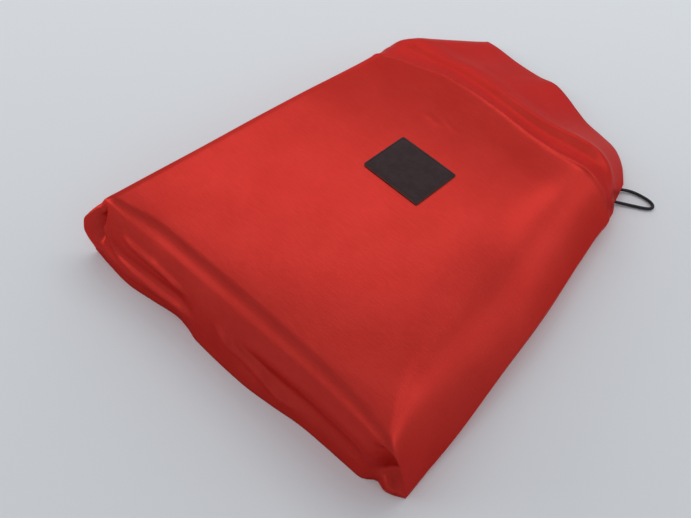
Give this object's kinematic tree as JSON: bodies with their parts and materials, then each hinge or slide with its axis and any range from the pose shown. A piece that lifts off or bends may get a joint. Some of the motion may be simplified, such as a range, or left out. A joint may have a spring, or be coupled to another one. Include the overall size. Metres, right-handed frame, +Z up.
{
  "type": "drawstring bag",
  "caption": "Filled satin drawstring bag lying on its back, with a boxed bottom end, a leather patch and the folded mouth's cord loop.",
  "frame": {"origin": "on the table, under the middle of the bag's bounding box, the cord loop left out", "axes": "+X across the bag towards the pressed tip of the bottom end, +Y from the boxed bottom end to the folded mouth, +Z up from the table"},
  "size_m": [0.3479, 0.4533, 0.0682],
  "materials": {
    "satin": "red polyester satin with a broad soft sheen and a very fine cross weave",
    "leather": "dark brown fine-grain leather with a paler cut edge",
    "cord": "near-black braided cord"
  },
  "bodies": {
    "root": {"bag_body": "satin", "leather_patch": "leather", "drawcord": "cord"}
  },
  "joints": []
}
